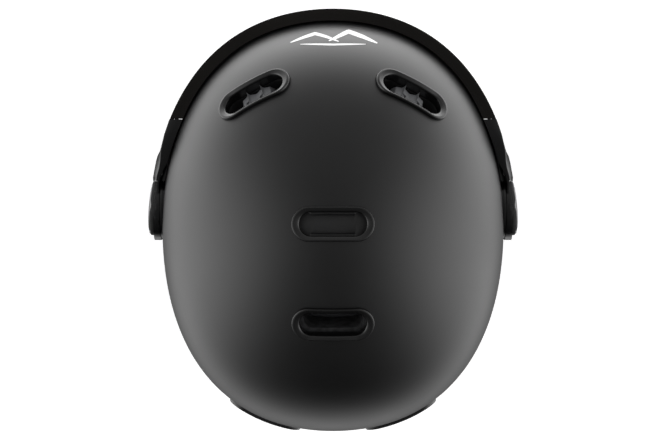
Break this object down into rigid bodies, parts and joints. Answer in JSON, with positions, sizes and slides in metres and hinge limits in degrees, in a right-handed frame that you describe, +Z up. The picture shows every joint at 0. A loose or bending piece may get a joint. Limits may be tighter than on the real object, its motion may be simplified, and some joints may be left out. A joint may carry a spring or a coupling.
{
  "type": "visor ski helmet",
  "caption": "Hard-shell ski helmet with a hinged wraparound visor, oval vents, padded liner, ear pads, chin strap and rear fit dial.",
  "frame": {"origin": "centre of the footprint on the surface that the ear pads stand on", "axes": "+Z up, -Y the way the wearer faces, +X towards the wearer's left"},
  "size_m": [0.2372, 0.2723, 0.2242],
  "materials": {
    "shell_paint": "satin",
    "glossy_black": "gloss",
    "black_plastic": "satin",
    "grey_plastic": "satin",
    "black_rubber": "matte",
    "foam": "matte",
    "lining": "matte",
    "leatherette": "satin",
    "webbing": "matte",
    "steel": "satin",
    "tinted_lens": "gloss"
  },
  "bodies": {
    "helmet": {"outer_shell": "shell_paint", "foam_liner": "foam", "rim_trim": "black_rubber", "crown_vent_bezel_front": "glossy_black", "crown_vent_bezel_rear": "glossy_black", "brow_vent_bezel_right": "glossy_black", "brow_vent_bezel_left": "glossy_black", "nape_vent_bezel_right": "glossy_black", "nape_vent_bezel_left": "glossy_black", "brow_vent_duct_right": "grey_plastic", "brow_vent_duct_left": "grey_plastic", "nape_vent_grille_right": "grey_plastic", "nape_vent_grille_left": "grey_plastic", "brow_pad": "lining", "rear_pad": "lining", "side_pad_right": "lining", "side_pad_left": "lining", "crown_pad": "lining", "chin_pad": "lining", "ear_pad_right": "leatherette", "ear_pad_left": "leatherette", "strap_keeper": "black_plastic", "chin_strap_right": "webbing", "chin_strap_left": "webbing", "rear_strap_right": "webbing", "rear_strap_left": "webbing", "strap_rivet_front_right": "steel", "strap_rivet_front_left": "steel", "strap_rivet_rear_right": "steel", "strap_rivet_rear_left": "steel", "buckle_socket": "black_plastic", "pivot_base_right": "glossy_black", "pivot_base_left": "glossy_black", "pivot_bolt_right": "steel", "pivot_bolt_left": "steel", "pivot_nut_right": "steel", "pivot_nut_left": "steel", "fit_guide_right": "black_plastic", "fit_guide_left": "black_plastic"},
    "visor": {"visor_lens": "tinted_lens", "visor_brow_seal": "black_rubber", "visor_nose_seal": "foam", "visor_arm_right": "glossy_black", "visor_arm_left": "glossy_black"},
    "right_knob": {"knob_ring_right": "black_rubber", "knob_cap_right": "glossy_black"},
    "left_knob": {"knob_ring_left": "black_rubber", "knob_cap_left": "glossy_black"},
    "crown_shutter": {"crown_vent_shutter": "black_plastic"},
    "fit_ring": {"fit_yoke": "black_plastic", "fit_dial_housing": "black_plastic", "fit_dial_screw": "steel", "nape_pad": "lining"},
    "fit_wheel": {"fit_dial": "black_rubber"},
    "buckle_half": {"buckle_plug": "black_plastic"}
  },
  "joints": [
    {"name": "visor_swing", "type": "hinge", "parent": "helmet", "child": "visor", "pos_m": [0, -0.00724, 0.104], "axis": [-1, 0, 0], "range_deg": [0, 50]},
    {"name": "right_knob_turn", "type": "hinge", "parent": "visor", "child": "right_knob", "pos_m": [0.1126, -0.00724, 0.104], "axis": [0.9962, -0.0872, 0], "range_deg": [0, 90]},
    {"name": "left_knob_turn", "type": "hinge", "parent": "visor", "child": "left_knob", "pos_m": [-0.1126, -0.00724, 0.104], "axis": [-0.9962, -0.0872, 0], "range_deg": [0, 90]},
    {"name": "crown_shutter_slide", "type": "slide", "parent": "helmet", "child": "crown_shutter", "axis": [0, 0.9998, 0.0182], "range_m": [0, 0.014]},
    {"name": "fit_ring_slide", "type": "slide", "parent": "helmet", "child": "fit_ring", "axis": [0, -1, 0], "range_m": [0, 0.012]},
    {"name": "fit_wheel_turn", "type": "hinge", "parent": "fit_ring", "child": "fit_wheel", "pos_m": [0, 0.1, 0.04], "axis": [0, 1, 0], "range_deg": [0, 180]},
    {"name": "buckle_release", "type": "slide", "parent": "helmet", "child": "buckle_half", "axis": [1, 0, 0], "range_m": [0, 0.024]}
  ],
  "couplings": [
    {"joint": "fit_wheel_turn", "follows": "fit_ring_slide", "rad_per_m": 250}
  ]
}
